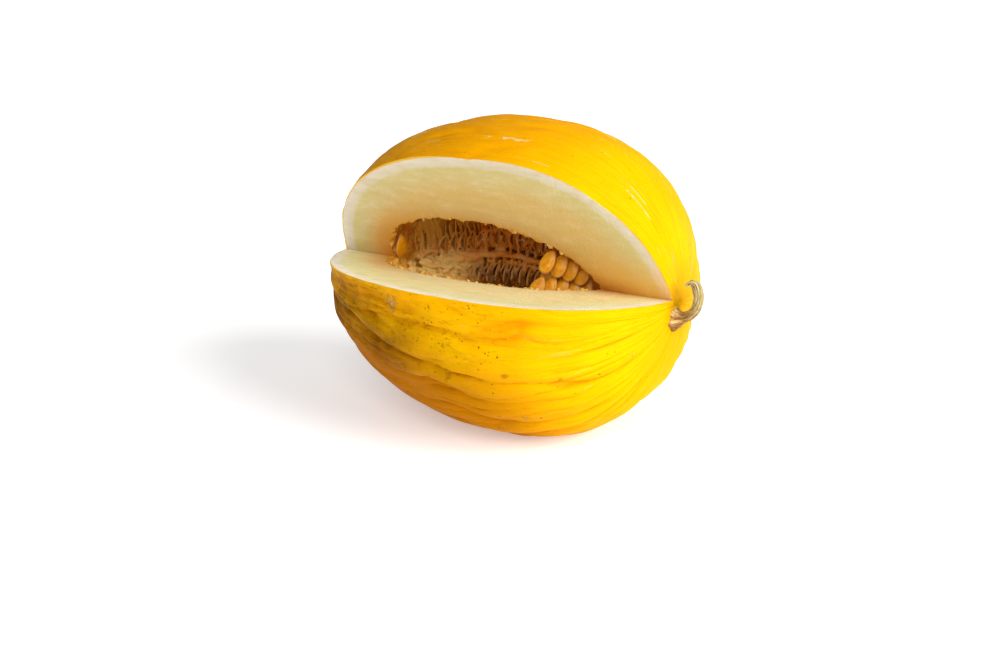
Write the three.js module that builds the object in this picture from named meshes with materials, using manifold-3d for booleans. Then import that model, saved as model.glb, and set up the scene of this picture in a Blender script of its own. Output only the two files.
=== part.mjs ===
// A canary melon that lies on its side, with one wedge cut out of its front.
// Millimetres. +X runs along the melon's own axis towards the stem, -Y is the
// cut front, +Z is up. While it is modelled, the origin is the middle of the
// widest section, on the axis. At the end the melon is moved so that the origin
// is the middle of the bottom of its bounding box.
import * as THREE from "three";
import { mergeVertices } from "three/addons/utils/BufferGeometryUtils.js";
import Module from "manifold-3d";

const wasm = await Module();
wasm.setup();

// The outside of the fruit: an oval of revolution, longer towards the blossom.
const RADIUS = 79;
const TO_BLOSSOM = 109;
const TO_STEM = 80;
const BLUNT_BLOSSOM = 2.22; // 2 is an ellipse, more is fuller
const BLUNT_STEM = 2.12;
const FOLDS = 9; // shallow folds that run from stem to blossom
const FOLD_DEPTH = 0.9;
const REST_SINK = 2; // how far the flat patch it lies on is pressed in

// The two strokes of the knife. Each plane's normal leans from straight up
// towards +Y by tilt and towards +X by yaw, and offset is how far the plane
// passes from the origin along its normal.
const LOWER_CUT = { tilt: 7.3, yaw: -1.3, offset: 0.6 };
const UPPER_CUT = { tilt: 64.8, yaw: -0.6, offset: -6.4 };

// The hollow that holds the seeds, an oval of revolution too.
const HOLLOW_X = -20;
const HOLLOW_RADIUS = 37;
const HOLLOW_TO_BLOSSOM = 60;
const HOLLOW_TO_STEM = 62;
const HOLLOW_BLUNT_BLOSSOM = 2.6;
const HOLLOW_BLUNT_STEM = 2;

// The dried stem: a short hook, flared where it joins the fruit.
const STEM_FOOT_Y = -4.7;
const STEM_FOOT_Z = -6.3;
const STEM_REACH = 12;
const STEM_RISE = 20;
const STEM_RADIUS = 2.4;
const STEM_FLARE = 5;
const STEM_ROOT = 5; // how far its curve starts inside the fruit, to be trimmed

// One seed: a flattened drop.
const SEED_LENGTH = 13;
const SEED_WIDTH = 7.6;
const SEED_THICKNESS = 2.6;
const SEED_TAPER = 0.28; // how much narrower its pointed half is

// The two rows of seeds that stay on the far wall, above and below a ridge.
const UPPER_ROW_COUNT = 14;
const LOWER_ROW_COUNT = 12;
const ROWS_X = -36; // middle of both rows
const RIDGE_PEAK_X = -28; // the ridge is highest here and droops to both ends
const RIDGE_PEAK_ANGLE = -4; // degrees round the axis, up from +Y
const RIDGE_DROOP = 20; // degrees that it has dropped after RIDGE_DROOP_RUN
const RIDGE_DROOP_RUN = 40;
const RIDGE_RADIUS = 2.1;
const RIDGE_INSET = 4.6; // centre of the ridge, in from the wall
const RIB_RADIUS = 0.7; // the strands between two seeds
const RIB_RISE = 47; // degrees that a strand climbs from the ridge
const RIB_DROP = 40;
const PULP_X = -66; // the lump of soft pulp at the ridge's blossom end
const PULP_SIZE = [10, 8, 6];

// The loose seeds near the stem end hang in three short rows, whose seeds all
// lean and turn alike. A row runs from first to last. Both are shares of the
// hollow: how far towards its stem end, then across and up as parts of its radius.
const CLUSTER_LEAN = 17; // degrees from upright towards the stem
const CLUSTER_TURN = 5; // degrees that the flat sides face from -Y towards the stem
const CLUSTER_TIP = 25; // degrees that the flat sides face upwards
const CLUSTER_ROWS = [
  { name: "front", count: 4, first: [0.563, -0.392, 0.385], last: [0.791, -0.122, 0.211] },
  { name: "middle", count: 3, first: [0.515, -0.216, 0.135], last: [0.654, -0.059, 0.031] },
  { name: "bottom", count: 5, first: [0.493, -0.473, 0.014], last: [0.789, -0.059, -0.042] },
];
const LONE_SEED = [-0.917, -0.19, 0.16]; // one seed by itself at the blossom end, in the same shares

const GAP = 0.3; // between pieces that touch
const SEED_GAP = 1; // between a seed and the wall of the hollow

const up = new THREE.Vector3(0, 0, 1);

// --- solids -------------------------------------------------------------

function solidOf(geometry) {
  const bare = geometry.clone();
  bare.deleteAttribute("normal");
  bare.deleteAttribute("uv");
  const merged = mergeVertices(bare, 1e-4);
  const corners = merged.index.array;
  const kept = [];
  for (let i = 0; i < corners.length; i += 3) {
    const [a, b, c] = corners.slice(i, i + 3);
    if (a !== b && b !== c && c !== a) kept.push(a, b, c);
  }
  return new wasm.Manifold(
    new wasm.Mesh({
      numProp: 3,
      vertProperties: new Float32Array(merged.attributes.position.array),
      triVerts: new Uint32Array(kept),
    }),
  );
}

function geometryOf(solid) {
  const mesh = solid.getMesh();
  const geometry = new THREE.BufferGeometry();
  geometry.setAttribute("position", new THREE.BufferAttribute(mesh.vertProperties, 3));
  geometry.setIndex(new THREE.BufferAttribute(mesh.triVerts, 1));
  geometry.computeVertexNormals();
  return geometry;
}

// Everything further along a unit normal than a distance from the origin.
function halfSpace(normal, distance) {
  const size = 4 * (TO_BLOSSOM + TO_STEM);
  const block = new THREE.BoxGeometry(size, size, size);
  block.translate(0, 0, distance + size / 2);
  block.applyQuaternion(new THREE.Quaternion().setFromUnitVectors(up, normal));
  return solidOf(block);
}

// Half a meridian on each side of the widest section, from blossom to stem.
function meridian({ radius, toBlossom, toStem, bluntBlossom, bluntStem }, steps) {
  const points = [];
  for (let i = 0; i <= steps; i++) {
    const t = Math.PI * (i / steps - 0.5);
    const reach = t < 0 ? -toBlossom : toStem;
    const power = 2 / (t < 0 ? bluntBlossom : bluntStem);
    const atPole = i === 0 || i === steps;
    const out = atPole ? 0 : radius * Math.cos(t) ** power;
    points.push(new THREE.Vector2(out, reach * Math.abs(Math.sin(t)) ** power));
  }
  return points;
}

function oval(shape, steps, sides) {
  const geometry = new THREE.LatheGeometry(meridian(shape, steps), sides);
  return geometry.rotateZ(-Math.PI / 2);
}

// A tube along a curve, whose radius changes with the share t of its length.
function taperedTube(curve, radiusAt, sides, steps) {
  const geometry = new THREE.CylinderGeometry(1, 1, 1, sides, steps);
  const frames = curve.computeFrenetFrames(steps);
  const place = geometry.attributes.position;
  for (let i = 0; i < place.count; i++) {
    const t = place.getY(i) + 0.5;
    const ring = Math.round(t * steps);
    const point = curve.getPointAt(t);
    point.addScaledVector(frames.normals[ring], place.getX(i) * radiusAt(t));
    point.addScaledVector(frames.binormals[ring], -place.getZ(i) * radiusAt(t));
    place.setXYZ(i, point.x, point.y, point.z);
  }
  return solidOf(geometry);
}

// --- the fruit ------------------------------------------------------------

// The skin, moved outwards by grow, with its folds.
function skin(grow) {
  const shape = {
    radius: RADIUS + grow,
    toBlossom: TO_BLOSSOM + grow,
    toStem: TO_STEM + grow,
    bluntBlossom: BLUNT_BLOSSOM,
    bluntStem: BLUNT_STEM,
  };
  const geometry = oval(shape, 36, 72);
  const place = geometry.attributes.position;
  for (let i = 0; i < place.count; i++) {
    const x = place.getX(i);
    const angle = Math.atan2(place.getZ(i), place.getY(i));
    const valley = 0.5 + 0.5 * Math.cos(FOLDS * angle + 0.8 * Math.sin(2 * angle));
    const shrink = 1 - (FOLD_DEPTH * valley) / RADIUS;
    place.setXYZ(i, x, place.getY(i) * shrink, place.getZ(i) * shrink);
  }
  return solidOf(geometry);
}

// The hollow, with its wall moved inwards by shrink.
function hollow(shrink) {
  const shape = {
    radius: HOLLOW_RADIUS - shrink,
    toBlossom: HOLLOW_TO_BLOSSOM - shrink,
    toStem: HOLLOW_TO_STEM - shrink,
    bluntBlossom: HOLLOW_BLUNT_BLOSSOM,
    bluntStem: HOLLOW_BLUNT_STEM,
  };
  return solidOf(oval(shape, 24, 40).translate(HOLLOW_X, 0, 0));
}

function hollowRadius(x) {
  const from = x - HOLLOW_X;
  const reach = from < 0 ? HOLLOW_TO_BLOSSOM : HOLLOW_TO_STEM;
  const blunt = from < 0 ? HOLLOW_BLUNT_BLOSSOM : HOLLOW_BLUNT_STEM;
  const share = Math.min(Math.abs(from) / reach, 1);
  return HOLLOW_RADIUS * (1 - share ** blunt) ** (1 / blunt);
}

function cutNormal({ tilt, yaw }) {
  const lean = THREE.MathUtils.degToRad(tilt);
  const turn = THREE.MathUtils.degToRad(yaw);
  const across = Math.cos(turn);
  return new THREE.Vector3(
    Math.sin(turn),
    Math.sin(lean) * across,
    Math.cos(lean) * across,
  );
}

// What the two strokes of the knife take away between them.
function wedge() {
  const aboveLower = halfSpace(cutNormal(LOWER_CUT), LOWER_CUT.offset);
  const beforeUpper = halfSpace(cutNormal(UPPER_CUT).negate(), -UPPER_CUT.offset);
  return aboveLower.intersect(beforeUpper);
}

function fruit() {
  const underFloor = halfSpace(new THREE.Vector3(0, 0, -1), RADIUS - REST_SINK);
  return geometryOf(skin(0).subtract(hollow(0)).subtract(wedge()).subtract(underFloor));
}

// --- the stem ---------------------------------------------------------------

function stem() {
  const off = Math.hypot(STEM_FOOT_Y, STEM_FOOT_Z) / RADIUS;
  const footX = TO_STEM * (1 - off ** BLUNT_STEM) ** (1 / BLUNT_STEM);
  const hook = [
    [0.4, 0.1],
    [0.8, 0.25],
    [0.98, 0.46],
    [1, 0.66],
    [0.84, 0.86],
    [0.57, 1],
  ].map(([reach, rise]) => {
    const x = footX + reach * STEM_REACH;
    return new THREE.Vector3(x, STEM_FOOT_Y, STEM_FOOT_Z + rise * STEM_RISE);
  });
  const root = new THREE.Vector3(footX - STEM_ROOT, STEM_FOOT_Y, STEM_FOOT_Z);
  const curve = new THREE.CatmullRomCurve3([root, ...hook]);
  const flare = (t) => (STEM_FLARE - STEM_RADIUS) * Math.max(0, 1 - 3.5 * t) ** 2;
  const tube = taperedTube(curve, (t) => STEM_RADIUS + flare(t), 12, 20);
  return geometryOf(tube.subtract(skin(GAP)));
}

// --- seeds ------------------------------------------------------------------

// Length along Y with the pointed end at +Y, width along X, thickness along Z.
function seedShape() {
  const geometry = new THREE.SphereGeometry(1, 10, 6);
  const place = geometry.attributes.position;
  for (let i = 0; i < place.count; i++) {
    const y = place.getY(i);
    const x = place.getX(i) * (1 - SEED_TAPER * Math.max(0, y));
    place.setX(i, x);
  }
  geometry.scale(SEED_WIDTH / 2, SEED_LENGTH / 2, SEED_THICKNESS / 2);
  geometry.computeVertexNormals();
  return geometry;
}

const SEED = seedShape();

function seed(name, middle, along, facing) {
  const material = new THREE.MeshStandardMaterial({ color: "#d9a43a", roughness: 0.45 });
  const mesh = new THREE.Mesh(SEED, material);
  mesh.name = name;
  const width = new THREE.Vector3().crossVectors(along, facing).normalize();
  const thin = new THREE.Vector3().crossVectors(width, along);
  mesh.quaternion.setFromRotationMatrix(new THREE.Matrix4().makeBasis(width, along, thin));
  mesh.position.copy(middle);
  return mesh;
}

// A point inside the hollow, at an angle up from +Y and in from the wall.
function fromWall(x, degrees, inset) {
  const angle = THREE.MathUtils.degToRad(degrees);
  const out = hollowRadius(x) - inset;
  return new THREE.Vector3(x, out * Math.cos(angle), out * Math.sin(angle));
}

function ridgeAngle(x) {
  return RIDGE_PEAK_ANGLE - RIDGE_DROOP * ((x - RIDGE_PEAK_X) / RIDGE_DROOP_RUN) ** 2;
}

// Degrees round the axis that an arc of this length spans, close to the wall.
function spanAngle(x, length) {
  return THREE.MathUtils.radToDeg(length / (hollowRadius(x) - RIDGE_INSET));
}

const ROW_PITCH = SEED_THICKNESS + 2 * RIB_RADIUS + 2 * GAP;
const SEED_INSET = SEED_WIDTH / 2 + SEED_GAP;

function rowX(index, count) {
  return ROWS_X + (index - (count - 1) / 2) * ROW_PITCH;
}

// A row of upright seeds, flat side to flat side, on one side of the ridge.
function wallRow(name, count, side) {
  const seeds = [];
  for (let i = 0; i < count; i++) {
    const x = rowX(i, count);
    const reach = SEED_LENGTH / 2 + RIDGE_RADIUS + 3 * GAP;
    const degrees = ridgeAngle(x) + side * spanAngle(x, reach);
    const angle = THREE.MathUtils.degToRad(degrees);
    const along = new THREE.Vector3(0, -Math.sin(angle), Math.cos(angle));
    const middle = fromWall(x, degrees, SEED_INSET);
    const label = `seed_${name}_${String(i + 1).padStart(2, "0")}`;
    seeds.push(seed(label, middle, along, new THREE.Vector3(1, 0, 0)));
  }
  return seeds;
}

function inHollow([alongShare, acrossShare, upShare]) {
  const reach = alongShare < 0 ? HOLLOW_TO_BLOSSOM : HOLLOW_TO_STEM;
  return new THREE.Vector3(
    HOLLOW_X + alongShare * reach,
    acrossShare * HOLLOW_RADIUS,
    upShare * HOLLOW_RADIUS,
  );
}

function cluster({ name, count, first, last }) {
  const lean = THREE.MathUtils.degToRad(CLUSTER_LEAN);
  const turn = THREE.MathUtils.degToRad(CLUSTER_TURN);
  const tip = THREE.MathUtils.degToRad(CLUSTER_TIP);
  const facing = new THREE.Vector3(Math.sin(turn), -Math.cos(turn), Math.tan(tip)).normalize();
  const along = new THREE.Vector3(Math.sin(lean), 0, Math.cos(lean));
  along.projectOnPlane(facing).normalize();
  const seeds = [];
  for (let i = 0; i < count; i++) {
    const middle = inHollow(first).lerp(inHollow(last), i / (count - 1));
    seeds.push(seed(`seed_${name}_${i + 1}`, middle, along, facing));
  }
  return seeds;
}

function loneSeed() {
  const along = new THREE.Vector3(0.1, -0.12, 1).normalize();
  return seed("seed_left", inHollow(LONE_SEED), along, new THREE.Vector3(1, -0.25, 0));
}

// --- the seed-bearing tissue --------------------------------------------------

function ridge() {
  const half = (UPPER_ROW_COUNT / 2) * ROW_PITCH;
  const points = [];
  for (let i = 0; i <= 8; i++) {
    const x = ROWS_X + (i / 4 - 1) * half;
    points.push(fromWall(x, ridgeAngle(x), RIDGE_INSET));
  }
  const curve = new THREE.CatmullRomCurve3(points);
  return taperedTube(curve, () => RIDGE_RADIUS, 8, 24);
}

// A strand from the ridge out to the wall and along it, between two seeds.
function rib(x, swing) {
  const base = ridgeAngle(x);
  const inset = RIB_RADIUS + 2 * GAP;
  const curve = new THREE.CatmullRomCurve3([
    fromWall(x, base, RIDGE_INSET),
    fromWall(x, base + 0.25 * swing, (RIDGE_INSET + inset) / 2),
    fromWall(x, base + 0.6 * swing, inset),
    fromWall(x, base + swing, inset),
  ]);
  return taperedTube(curve, () => RIB_RADIUS, 6, 6);
}

function pulp() {
  const lump = new THREE.SphereGeometry(1, 14, 9);
  lump.scale(...PULP_SIZE);
  const middle = fromWall(PULP_X, ridgeAngle(PULP_X), PULP_SIZE[1]);
  return solidOf(lump.translate(middle.x, middle.y, middle.z));
}

function placenta(seeds) {
  const ribs = [];
  for (let i = 0; i <= UPPER_ROW_COUNT; i++) {
    ribs.push(rib(rowX(i - 0.5, UPPER_ROW_COUNT), RIB_RISE));
  }
  for (let i = 0; i <= LOWER_ROW_COUNT; i++) {
    ribs.push(rib(rowX(i - 0.5, LOWER_ROW_COUNT), -RIB_DROP));
  }
  const web = wasm.Manifold.union([ridge(), pulp(), ...ribs]);
  const room = seeds.map((one) => {
    one.updateMatrix();
    const around = new THREE.Vector3(SEED_WIDTH, SEED_LENGTH, SEED_THICKNESS);
    const grown = SEED.clone();
    grown.scale(...around.toArray().map((size) => 1 + (2 * GAP) / size));
    return solidOf(grown.applyMatrix4(one.matrix));
  });
  return geometryOf(web.intersect(hollow(GAP)).subtract(wasm.Manifold.union(room)));
}

// --- assembly -----------------------------------------------------------------

function piece(name, geometry, color, roughness) {
  const mesh = new THREE.Mesh(geometry, new THREE.MeshStandardMaterial({ color, roughness }));
  mesh.name = name;
  return mesh;
}

const seeds = [
  ...wallRow("upper", UPPER_ROW_COUNT, 1),
  ...wallRow("lower", LOWER_ROW_COUNT, -1),
  ...CLUSTER_ROWS.flatMap(cluster),
  loneSeed(),
];

const melon = new THREE.Group();
melon.add(piece("fruit", fruit(), "#f4b70c", 0.45));
melon.add(piece("stem", stem(), "#a08a5c", 0.85));
melon.add(piece("placenta", placenta(seeds), "#c79a5e", 0.5));
melon.add(...seeds);

const box = new THREE.Box3().setFromObject(melon);
const middle = box.getCenter(new THREE.Vector3());
melon.position.set(-middle.x, -middle.y, -box.min.z);

const group = new THREE.Group();
group.add(melon);

export default group;
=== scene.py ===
import math
import random

import bpy
import numpy as np
from mathutils import Matrix, Vector, noise


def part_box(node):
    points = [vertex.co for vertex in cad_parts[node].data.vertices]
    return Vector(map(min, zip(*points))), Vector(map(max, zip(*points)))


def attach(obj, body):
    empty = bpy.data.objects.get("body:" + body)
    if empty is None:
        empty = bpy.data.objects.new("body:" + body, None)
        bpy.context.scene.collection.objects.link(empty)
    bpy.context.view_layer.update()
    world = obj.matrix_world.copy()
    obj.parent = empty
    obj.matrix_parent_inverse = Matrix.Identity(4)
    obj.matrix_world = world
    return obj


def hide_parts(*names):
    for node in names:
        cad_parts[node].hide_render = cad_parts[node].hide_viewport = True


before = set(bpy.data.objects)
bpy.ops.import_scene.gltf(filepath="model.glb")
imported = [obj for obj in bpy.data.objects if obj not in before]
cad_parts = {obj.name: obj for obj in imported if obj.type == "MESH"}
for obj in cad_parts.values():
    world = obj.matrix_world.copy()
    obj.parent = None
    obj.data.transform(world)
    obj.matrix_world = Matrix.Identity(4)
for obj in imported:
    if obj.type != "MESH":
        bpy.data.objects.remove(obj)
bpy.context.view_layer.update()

# ---------------------------------------------------------------- the fruit
# The rind and flesh of a canary melon, grown as one piece and lying on its
# side, with one wedge cut out by two strokes of a knife. The rind is tough and
# waxy, drawn into long folds; the flesh is pale, crisp and wet.

MM = 0.001
RADIUS = 79
TO_BLOSSOM = 109
TO_STEM = 80
REST_SINK = 2
SKIN = dict(radius=RADIUS, to_blossom=TO_BLOSSOM, to_stem=TO_STEM, blunt_blossom=2.22, blunt_stem=2.12)

HOLLOW_X = -20
HOLLOW = dict(radius=37, to_blossom=60, to_stem=62, blunt_blossom=2.6, blunt_stem=2)

LOWER_CUT = dict(tilt=7.3, yaw=-1.3, offset=0.6)
UPPER_CUT = dict(tilt=64.8, yaw=-0.6, offset=-6.4)

STEM_FOOT = Vector((79.2, -4.7, -6.3))

fruit_low, fruit_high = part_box("fruit")
CENTRE = fruit_low + Vector((TO_BLOSSOM, RADIUS, RADIUS - REST_SINK)) * MM


def read_points(piece):
    points = np.empty(len(piece.data.vertices) * 3, np.float32)
    piece.data.vertices.foreach_get("co", points)
    return points.reshape(-1, 3).astype(float)


def write_points(piece, points):
    piece.data.vertices.foreach_set("co", points.astype(np.float32).ravel())
    piece.data.update()


def alone(piece):
    bpy.ops.object.select_all(action="DESELECT")
    piece.select_set(True)
    bpy.context.view_layer.objects.active = piece


def apply_modifier(piece, kind, **settings):
    alone(piece)
    bpy.ops.object.modifier_add(type=kind)
    modifier = piece.modifiers[-1]
    for name, value in settings.items():
        setattr(modifier, name, value)
    bpy.ops.object.modifier_apply(modifier=modifier.name)


def oval_points(unit, shape):
    """Points of a unit ball with poles on Z, drawn out to an oval with poles on X."""
    toward_blossom = unit[:, 2] < 0
    reach = np.where(toward_blossom, shape["to_blossom"], shape["to_stem"])
    power = 2 / np.where(toward_blossom, shape["blunt_blossom"], shape["blunt_stem"])
    along = np.sign(unit[:, 2]) * reach * np.abs(unit[:, 2]) ** power
    across = np.hypot(unit[:, 0], unit[:, 1])
    swell = shape["radius"] * across**power / np.maximum(across, 1e-9)
    return np.stack([along, unit[:, 0] * swell, unit[:, 1] * swell], 1)


def oval_share(points, shape):
    """0 at the middle of an oval, 1 on its surface."""
    toward_blossom = points[:, 0] < 0
    reach = np.where(toward_blossom, shape["to_blossom"], shape["to_stem"])
    blunt = np.where(toward_blossom, shape["blunt_blossom"], shape["blunt_stem"])
    across = np.hypot(points[:, 1], points[:, 2]) / shape["radius"]
    return ((np.abs(points[:, 0]) / reach) ** blunt + across**blunt) ** (1 / blunt)


def noise_at(points, stretch, turn=0.0):
    """Smooth noise from -1 to 1 at each point, with features of about these sizes in mm."""
    scaled = points / np.array(stretch) + turn
    return np.array([noise.noise(Vector(p)) for p in scaled])


def ball(name, segments, rings):
    bpy.ops.object.select_all(action="DESELECT")
    bpy.ops.mesh.primitive_uv_sphere_add(segments=segments, ring_count=rings, radius=1)
    made = bpy.context.object
    made.name = made.data.name = name
    return made


def rolled_out(points, shift=0.0):
    """Each point by its place along the axis and its direction round it, as if the melon were a tube."""
    angle = np.arctan2(points[:, 2], points[:, 1]) + shift / RADIUS
    return np.stack([points[:, 0], RADIUS * np.cos(angle), RADIUS * np.sin(angle)], 1)


def folds(place, length, width, turn, sharpness):
    """Rounded folds from 0 in their valleys to 1 on their crests, this long and wide in mm."""
    return np.minimum(np.abs(noise_at(place, (length, width, width), turn)) / 0.42, 1) ** sharpness


def skin_relief(points):
    """How far the skin stands out, in mm: long folds, finer creases and the two ends."""
    rolled = rolled_out(points)
    wander = 5.5 * noise_at(rolled, (36, 45, 45), 7.0) + 1.6 * noise_at(rolled, (11, 14, 14), 5.0)
    bent = rolled_out(points, wander)
    height = rolled[:, 2] / RADIUS
    strength = 1.0 - 0.75 * np.clip((height - 0.02) / 0.45, 0, 1) + 0.5 * noise_at(rolled, (50, 34, 34), 3.0)
    strength = np.clip(strength, 0.16, 1.25)
    broad = folds(bent, 95, 14.5, 11.0, 0.5)
    crease = folds(bent, 44, 7, 23.0, 0.6)
    fine = folds(bent, 17, 2.9, 31.0, 0.7)
    relief = strength * (3.6 * (broad - 0.75) + 1.5 * (crease - 0.7)) + 0.2 * (fine - 0.6)
    lumps = 0.7 * noise_at(rolled, (45, 40, 40), 17.0)
    reach = np.where(points[:, 0] < 0, TO_BLOSSOM, TO_STEM)
    ends = np.clip((1 - np.abs(points[:, 0]) / reach) * 6, 0, 1)
    relief = (relief + lumps) * ends - 0.3

    foot = points - np.array(STEM_FOOT)
    reach = np.linalg.norm(foot, axis=1)
    round_foot = np.arctan2(foot[:, 2], foot[:, 1])
    pucker = np.exp(-(((reach - 8) / 4) ** 2)) * np.abs(np.cos(5.5 * round_foot + 0.09 * wander))
    relief -= 0.5 * np.exp(-((reach / 6) ** 2)) + 0.7 * pucker

    tip = np.linalg.norm(points - np.array([-TO_BLOSSOM, 0, 0]), axis=1)
    relief += 0.7 * np.exp(-(((tip - 8) / 2.4) ** 2)) - 0.9 * np.exp(-((tip / 6) ** 2))
    return relief


def cut_normal(cut):
    lean, turn = math.radians(cut["tilt"]), math.radians(cut["yaw"])
    return Vector((math.sin(turn), math.sin(lean) * math.cos(turn), math.cos(lean) * math.cos(turn)))


def knife_block(name, cut, away):
    """A closed block whose finely meshed base is the knife's stroke and which reaches 110 mm away from it."""
    bpy.ops.object.select_all(action="DESELECT")
    bpy.ops.mesh.primitive_grid_add(x_subdivisions=150, y_subdivisions=72, size=1)
    made = bpy.context.object
    made.name = made.data.name = name
    normal = cut_normal(cut)
    base = read_points(made) * np.array([226, 108, 0]) + np.array([-12, -40, 0])
    base[:, 2] = 0.22 * noise_at(base, (38, 16, 1)) + 0.05 * noise_at(base, (5, 2.5, 1), 5.0)
    write_points(made, base)
    bpy.ops.object.mode_set(mode="EDIT")
    bpy.ops.mesh.select_all(action="SELECT")
    bpy.ops.mesh.extrude_region_move(TRANSFORM_OT_translate={"value": (0, 0, 110 * away)})
    bpy.ops.mesh.select_all(action="SELECT")
    bpy.ops.mesh.normals_make_consistent(inside=False)
    bpy.ops.object.mode_set(mode="OBJECT")
    forward = Vector((0, -1, 0)) if away > 0 else Vector((0, 0, 1))
    forward = (forward - normal * forward.dot(normal)).normalized()
    back = -forward
    turn = Matrix((back.cross(normal), back, normal)).transposed()
    points = read_points(made) @ np.array(turn).T + np.array(normal) * cut["offset"]
    write_points(made, points)
    return made


skin = ball("melon_fruit", 452, 162)
points = oval_points(read_points(skin), SKIN)
outward = points / np.array([TO_BLOSSOM, RADIUS, RADIUS]) ** 2
outward /= np.linalg.norm(outward, axis=1)[:, None]
points = points + outward * skin_relief(points)[:, None]
points[:, 2] = np.maximum(points[:, 2], REST_SINK - RADIUS)
write_points(skin, points)

seed_room = ball("seed_room", 200, 140)
points = oval_points(read_points(seed_room), HOLLOW)
outward = points / np.linalg.norm(points, axis=1)[:, None]
ragged = 1.0 * noise_at(points, (7, 7, 7)) + 2.0 * noise_at(points, (2.5, 3.4, 3.4), 9.0)
points = points + outward * ragged[:, None] + np.array([HOLLOW_X, 0, 0])
write_points(seed_room, points)

lower_block = knife_block("lower_block", LOWER_CUT, 1)
upper_block = knife_block("upper_block", UPPER_CUT, -1)
apply_modifier(lower_block, "BOOLEAN", object=upper_block, operation="INTERSECT", solver="MANIFOLD")
apply_modifier(skin, "BOOLEAN", object=seed_room, operation="DIFFERENCE", solver="MANIFOLD")
apply_modifier(skin, "BOOLEAN", object=lower_block, operation="DIFFERENCE", solver="MANIFOLD")
for tool in (seed_room, lower_block, upper_block):
    bpy.data.objects.remove(tool)

points = read_points(skin)
share = oval_share(points, SKIN)
from_skin = np.linalg.norm(points, axis=1) * (1 / np.maximum(share, 1e-6) - 1)
in_room = points - np.array([HOLLOW_X, 0, 0])
room_share = oval_share(in_room, HOLLOW)
from_room = np.linalg.norm(in_room, axis=1) * (1 - 1 / np.maximum(room_share, 1e-6))


def store(piece, name, values):
    values = np.asarray(values, np.float32)
    kind = "FLOAT" if values.ndim == 1 else "FLOAT_VECTOR"
    attribute = piece.data.attributes.new(name, kind, "POINT")
    attribute.data.foreach_set("value" if values.ndim == 1 else "vector", values.ravel())


store(skin, "from_skin", from_skin)
store(skin, "from_room", from_room)
store(skin, "rolled", rolled_out(points) * MM)
store(skin, "relief", skin_relief(points))
upper_normal = np.array(cut_normal(UPPER_CUT))
store(skin, "under", np.abs(points @ upper_normal - UPPER_CUT["offset"]) < 0.6)
lower_normal = np.array(cut_normal(LOWER_CUT))
hinge_line = np.cross(lower_normal, upper_normal)
hinge_point = np.linalg.solve([lower_normal, upper_normal, hinge_line], [LOWER_CUT["offset"], UPPER_CUT["offset"], 0])
hinge_line /= np.linalg.norm(hinge_line)
store(skin, "from_hinge", np.linalg.norm(np.cross(points - hinge_point, hinge_line), axis=1))


def linear(hex_colour):
    """A colour written as sRGB hex, as the linear light that a shader takes."""
    channels = [int(hex_colour[i : i + 2], 16) / 255 for i in (1, 3, 5)]
    return [c / 12.92 if c <= 0.04045 else ((c + 0.055) / 1.055) ** 2.4 for c in channels] + [1]


def add(tree, kind, links=None, stops=None, **settings):
    """Adds a node. Each link is a value, a hex colour or another node's output."""
    made = tree.nodes.new("ShaderNode" + kind)
    for name, value in settings.items():
        setattr(made, name, value)
    for socket, value in (links or {}).items():
        if isinstance(value, bpy.types.NodeSocket):
            tree.links.new(value, made.inputs[socket])
        else:
            made.inputs[socket].default_value = linear(value) if isinstance(value, str) else value
    for i, (place, colour) in enumerate(stops or []):
        ramp = made.color_ramp
        stop = ramp.elements[i] if i < 2 else ramp.elements.new(place)
        stop.position = place
        stop.color = linear(colour)
    return made


def new_material(name):
    made = bpy.data.materials.new(name)
    made.use_nodes = True
    tree = made.node_tree
    shader = tree.nodes["Principled BSDF"]
    return made, tree, shader


def on_skin(along, degrees):
    """The place in metres on the smooth skin at this distance along the axis and angle round it."""
    far = TO_BLOSSOM if along < 0 else TO_STEM
    blunt = SKIN["blunt_blossom"] if along < 0 else SKIN["blunt_stem"]
    out = RADIUS * (1 - abs(along / far) ** blunt) ** (1 / blunt)
    angle = math.radians(degrees)
    return CENTRE + Vector((along, out * math.cos(angle), out * math.sin(angle))) * MM


def range_of(tree, value, start, end, low=0.0, high=1.0):
    """Turns values from start to end into values from low to high."""
    return add(tree, "MapRange", {0: value, 1: start, 2: end, 3: low, 4: high}).outputs[0]


def product(tree, first, second):
    return add(tree, "Math", {0: first, 1: second}, operation="MULTIPLY").outputs[0]


def mixed(tree, share, first, second):
    return add(tree, "Mix", {0: share, 6: first, 7: second}, data_type="RGBA").outputs[2]


def grain(tree, place, size, detail=3.0, roughness=0.55):
    """Noise whose blotches are about this many mm across: one size, or one for each direction."""
    sizes = (size, size, size) if isinstance(size, (int, float)) else size
    scaled = add(tree, "Mapping", {"Vector": place, "Scale": [1 / (s * MM) for s in sizes]})
    settings = {"Vector": scaled.outputs[0], "Scale": 1, "Detail": detail, "Roughness": roughness}
    return add(tree, "TexNoise", settings).outputs["Fac"]


# Healed marks on the rind, each by its place along the axis, its angle, its size and its raggedness in mm.
CORKY_MARKS = ((-38, 178.5, 4.2, 5), (26.7, -137, 1.8, 2), (-64, -166, 3, 4), (71.5, -152.5, 0.6, 0.1))
CORKY_MARKS += ((30, 62, 2.6, 4), (-52, 20, 3, 4), (12, -40, 2.2, 3))
BRUISES = ((24.5, -161.5, 2, 2), (46.4, -156, 2.6, 2.5), (-7, -157, 3, 3), (-41, -155.5, 5, 5))
BRUISES += ((13.6, 174.6, 1.3, 1), (6.4, 175.2, 1.9, 1.5), (-0.4, 175.2, 1.5, 1.2), (-13.4, 177.2, 1.3, 1))
BRUISES += ((-20, 75, 4, 7), (35, 30, 2.5, 4), (-60, -20, 5, 8), (77, 2, 1.6, 1.5))


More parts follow.
